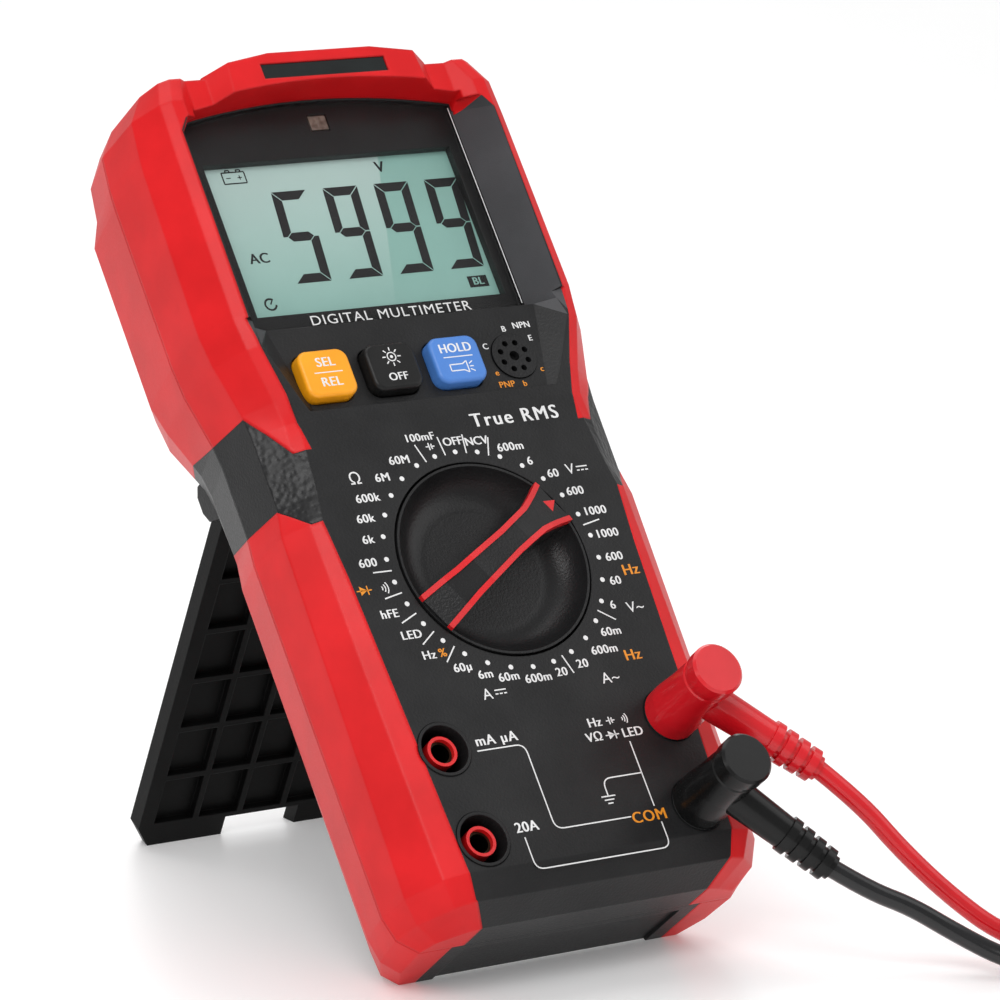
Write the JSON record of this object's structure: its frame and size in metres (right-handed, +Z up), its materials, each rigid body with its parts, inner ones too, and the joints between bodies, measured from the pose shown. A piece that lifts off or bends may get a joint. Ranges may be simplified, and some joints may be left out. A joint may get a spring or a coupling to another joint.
{
  "type": "handheld multimeter",
  "caption": "Faceted handheld meter leaning back on a folding kickstand, with a rotary selector, push buttons, a recessed display, and two plugged-in test leads.",
  "frame": {"origin": "middle of the meter's footprint on the surface it stands on, leads left out", "axes": "+Z up, -Y towards the user, +X to the right of the dial; the face leans back 38.6 degrees"},
  "size_m": [0.2017, 0.2376, 0.1696],
  "materials": {
    "case_black": "fine textured charcoal",
    "bumper_red": "satin overmoulded elastomer",
    "clear_lens": "polished clear acrylic",
    "print_black": "printed black",
    "lcd_glass": "grey-green liquid crystal display",
    "inner_white": "moulded white",
    "elastomer": "soft elastomer",
    "smoked_window": "smoked, glossy",
    "lamp_red": "tinted epoxy",
    "knob_black": "satin black",
    "trim_red": "satin red",
    "spring_steel": "bright spring steel",
    "contact_brass": "plated brass",
    "button_orange": "satin yellow-orange silicone",
    "button_black": "satin black silicone",
    "button_blue": "satin blue silicone",
    "jack_red": "moulded red",
    "board_green": "solder-masked laminate",
    "screw_steel": "zinc-plated steel",
    "fuse_ceramic": "glazed ceramic",
    "cell_wrap": "shrink-wrapped cell",
    "stand_black": "moulded black",
    "plug_red": "glossy moulded vinyl",
    "plug_black": "glossy moulded vinyl",
    "plug_metal": "nickel plate",
    "lead_red": "glossy silicone jacket",
    "lead_black": "glossy silicone jacket",
    "tie_black": "soft strap"
  },
  "bodies": {
    "case": {"battery_cells": "cell_wrap", "battery_contacts": "spring_steel", "battery_door": "case_black", "battery_door_screw": "screw_steel", "black_lead": "lead_black", "black_lead_coil": "lead_black", "black_lead_tail": "lead_black", "black_probe": "plug_black", "black_probe_tip": "plug_metal", "board_screws": "screw_steel", "button_pad": "elastomer", "buzzer": "knob_black", "case_screws": "screw_steel", "current_shunt": "contact_brass", "display_lens": "clear_lens", "front_case": "case_black", "fuse_clips": "contact_brass", "fuses": "fuse_ceramic", "jack_block": "case_black", "jack_contacts": "contact_brass", "jack_sleeves": "jack_red", "lcd_backlight": "inner_white", "lcd_contact_strips": "elastomer", "lcd_frame": "inner_white", "lcd_panel": "lcd_glass", "lead_ties": "tie_black", "light_sensor": "print_black", "lower_left_front_bumper": "bumper_red", "lower_left_rear_bumper": "bumper_red", "lower_right_front_bumper": "bumper_red", "lower_right_rear_bumper": "bumper_red", "main_board": "board_green", "ncv_lamp": "lamp_red", "ncv_window": "smoked_window", "rear_case": "case_black", "red_lead": "lead_red", "red_lead_coil": "lead_red", "red_lead_tail": "lead_red", "red_probe": "plug_red", "red_probe_tip": "plug_metal", "stand_pin": "screw_steel", "torch_lamp": "inner_white", "torch_lens": "clear_lens", "transistor_socket": "knob_black", "upper_front_bumper": "bumper_red", "upper_rear_bumper": "bumper_red"},
    "selector": {"selector_knob": "knob_black", "knob_trim": "trim_red", "detent_spring": "spring_steel", "detent_balls": "spring_steel", "switch_rotor": "inner_white", "switch_wipers": "contact_brass"},
    "select_key": {"select_button": "button_orange"},
    "backlight_key": {"backlight_button": "button_black"},
    "hold_key": {"hold_button": "button_blue"},
    "stand": {"kickstand": "stand_black"},
    "red_plug_body": {"red_plug": "plug_red", "red_plug_pin": "plug_metal"},
    "black_plug_body": {"black_plug": "plug_black", "black_plug_pin": "plug_metal"}
  },
  "joints": [
    {"name": "selector_turn", "type": "hinge", "parent": "case", "child": "selector", "pos_m": [0, -0.02774, 0.07704], "axis": [0, -0.7815, 0.6239], "continuous": true},
    {"name": "select_press", "type": "slide", "parent": "case", "child": "select_key", "axis": [0, 0.7815, -0.6239], "range_m": [0, 0.001], "stiffness_N_per_m": 400, "springref_m": -0.0005},
    {"name": "backlight_press", "type": "slide", "parent": "case", "child": "backlight_key", "axis": [0, 0.7815, -0.6239], "range_m": [0, 0.001], "stiffness_N_per_m": 400, "springref_m": -0.0005},
    {"name": "hold_press", "type": "slide", "parent": "case", "child": "hold_key", "axis": [0, 0.7815, -0.6239], "range_m": [0, 0.001], "stiffness_N_per_m": 400, "springref_m": -0.0005},
    {"name": "stand_fold", "type": "hinge", "parent": "case", "child": "stand", "pos_m": [0, 0.02567, 0.08303], "axis": [-1, 0, 0], "range_deg": [0, 64.4]},
    {"name": "red_plug_pull", "type": "slide", "parent": "case", "child": "red_plug_body", "axis": [0, -0.7815, 0.6239], "range_m": [0, 0.02]},
    {"name": "black_plug_pull", "type": "slide", "parent": "case", "child": "black_plug_body", "axis": [0, -0.7815, 0.6239], "range_m": [0, 0.02]}
  ]
}
